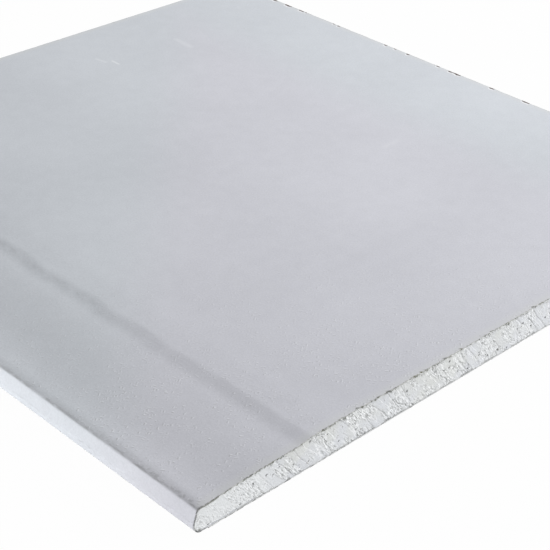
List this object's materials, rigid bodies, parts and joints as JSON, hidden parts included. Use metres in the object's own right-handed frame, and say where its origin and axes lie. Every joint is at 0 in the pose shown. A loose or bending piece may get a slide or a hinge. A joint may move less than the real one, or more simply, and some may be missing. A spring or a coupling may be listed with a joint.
{
  "type": "drywall sheet",
  "caption": "Flat drywall sheet: a white gypsum core faced with light grey paper that wraps a tapered long edge, with a grey-brown back liner and cut sides.",
  "frame": {"origin": "middle of the underside", "axes": "+Z out of the face side, +Y along the wrapped edge, +X away from the wrapped edge"},
  "size_m": [0.298, 0.306, 0.0127],
  "materials": {
    "gypsum": "chalky white set gypsum, rough where it was cut",
    "face_paper": "smooth light grey paper with a faint fibre grain",
    "back_paper": "coarser grey-brown liner paper"
  },
  "bodies": {
    "root": {"gypsum_core": "gypsum", "face_paper": "face_paper", "back_paper": "back_paper"}
  },
  "joints": []
}
